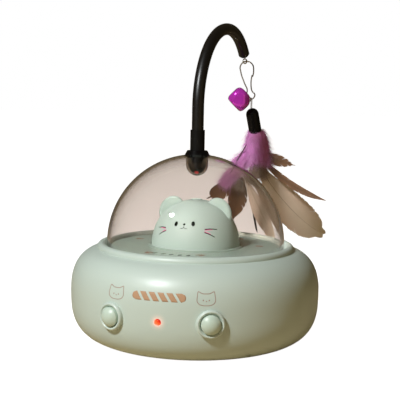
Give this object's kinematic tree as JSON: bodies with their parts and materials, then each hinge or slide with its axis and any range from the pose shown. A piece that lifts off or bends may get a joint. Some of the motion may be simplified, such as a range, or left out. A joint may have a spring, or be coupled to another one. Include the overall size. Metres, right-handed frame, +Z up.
{
  "type": "interactive cat toy",
  "caption": "Battery cat toy: a round base with a turning clear dome over a cat head, a bent wand with a bell and feather lure, and a laser dot.",
  "frame": {"origin": "on the dome axis, at the floor under the four rubber feet", "axes": "+Z up along the dome axis, -Y towards the front with the buttons and the cat face"},
  "size_m": [0.2, 0.2492, 0.255],
  "materials": {
    "mint_plastic": "satin",
    "mint_dark": "satin",
    "clear_plastic": "gloss",
    "black_plastic": "satin",
    "red_lens": "gloss",
    "clear_lens": "gloss",
    "mirror": "mirror",
    "nickel": "polished",
    "steel": "satin",
    "brass": "satin",
    "bell_purple": "gloss",
    "thread": "matt",
    "purple_down": "matt",
    "brown_feather": "matt",
    "beige_feather": "matt",
    "dark_feather": "matt",
    "white_plastic": "matt",
    "grey_plastic": "matt",
    "board_green": "satin",
    "cell_wrap": "gloss",
    "rubber": "matt"
  },
  "bodies": {
    "base": {"lower_shell": "mint_plastic", "upper_shell": "mint_plastic", "deck": "mint_plastic", "cat_head": "mint_plastic", "crown_lens": "clear_lens", "laser_holder": "white_plastic", "laser_module": "brass", "motor": "steel", "gearbox_plate": "grey_plastic", "gear_axles": "steel", "chassis": "white_plastic", "batteries": "cell_wrap", "battery_springs": "steel", "battery_contacts": "steel", "battery_door": "mint_plastic", "rubber_feet": "rubber", "case_screws": "steel", "chassis_screws": "steel", "small_screws": "steel", "motor_screws": "steel", "switch_boards": "board_green", "status_led": "red_lens", "main_board": "board_green", "button_collar_left": "mint_dark", "button_collar_right": "mint_dark", "switch_body_left": "grey_plastic", "switch_body_right": "grey_plastic"},
    "dome": {"clear_dome": "clear_plastic", "turntable_ring": "white_plastic", "wand_holder": "black_plastic", "laser_mirror": "mirror", "laser_window": "red_lens"},
    "wand": {"wand_sleeve": "black_plastic", "wand_tube": "black_plastic", "wand_eye": "nickel"},
    "hook": {"snap_hook": "nickel"},
    "bell": {"bell_shell": "bell_purple", "bell_loop": "nickel"},
    "pellet": {"bell_pellet": "steel"},
    "lure": {"lure_thread": "thread", "lure_cap": "black_plastic", "lure_down": "purple_down", "feather_brown_left": "brown_feather", "feather_brown_inner": "brown_feather", "feather_beige_mid": "beige_feather", "feather_beige_large": "beige_feather", "feather_brown_short": "brown_feather", "feather_brown_narrow": "dark_feather", "feather_wisp": "dark_feather", "feather_quill": "dark_feather"},
    "drive_gear": {"drive_gear": "white_plastic"},
    "reduction_gear": {"reduction_gear": "white_plastic"},
    "motor_rotor": {"motor_pinion": "white_plastic", "motor_shaft": "steel"},
    "button_left": {"button_cap_left": "mint_plastic", "switch_plunger_left": "steel"},
    "button_right": {"button_cap_right": "mint_plastic", "switch_plunger_right": "steel"}
  },
  "joints": [
    {"name": "dome_spin", "type": "hinge", "parent": "base", "child": "dome", "pos_m": [0, 0, 0.078], "axis": [0, 0, 1], "continuous": true},
    {"name": "drive_gear_spin", "type": "hinge", "parent": "base", "child": "drive_gear", "pos_m": [0, 0.0528, 0], "axis": [0, 0, 1], "continuous": true},
    {"name": "reduction_gear_spin", "type": "hinge", "parent": "base", "child": "reduction_gear", "pos_m": [-0.01573, 0.04179, 0], "axis": [0, 0, 1], "continuous": true},
    {"name": "motor_spin", "type": "hinge", "parent": "base", "child": "motor_rotor", "pos_m": [-0.00613, 0.02516, 0], "axis": [0, 0, 1], "continuous": true},
    {"name": "wand_pull", "type": "slide", "parent": "dome", "child": "wand", "axis": [0, 0, 1], "range_m": [0, 0.007]},
    {"name": "hook_swing", "type": "hinge", "parent": "wand", "child": "hook", "pos_m": [0.01489, 0.09845, 0.22421], "axis": [0.1495, 0.9888, 0], "range_deg": [-25, 25]},
    {"name": "bell_swing", "type": "hinge", "parent": "hook", "child": "bell", "pos_m": [0.02112, 0.0975, 0.19351], "axis": [-0.9888, 0.1495, 0], "range_deg": [0, 12]},
    {"name": "pellet_rattle", "type": "slide", "parent": "bell", "child": "pellet", "axis": [0, 0, 1], "range_m": [0, 0.008]},
    {"name": "lure_swing", "type": "hinge", "parent": "hook", "child": "lure", "pos_m": [0.02112, 0.0975, 0.19351], "axis": [0.9888, -0.1495, 0], "range_deg": [-6, 40]},
    {"name": "button_left_press", "type": "slide", "parent": "base", "child": "button_left", "axis": [0.373, 0.9278, 0], "range_m": [0, 0.001], "stiffness_N_per_m": 600, "springref_m": -0.001},
    {"name": "button_right_press", "type": "slide", "parent": "base", "child": "button_right", "axis": [-0.373, 0.9278, 0], "range_m": [0, 0.001], "stiffness_N_per_m": 600, "springref_m": -0.001}
  ],
  "couplings": [
    {"joint": "drive_gear_spin", "follows": "dome_spin", "ratio": 8.3333},
    {"joint": "reduction_gear_spin", "follows": "dome_spin", "ratio": -25},
    {"joint": "motor_spin", "follows": "dome_spin", "ratio": 75}
  ]
}
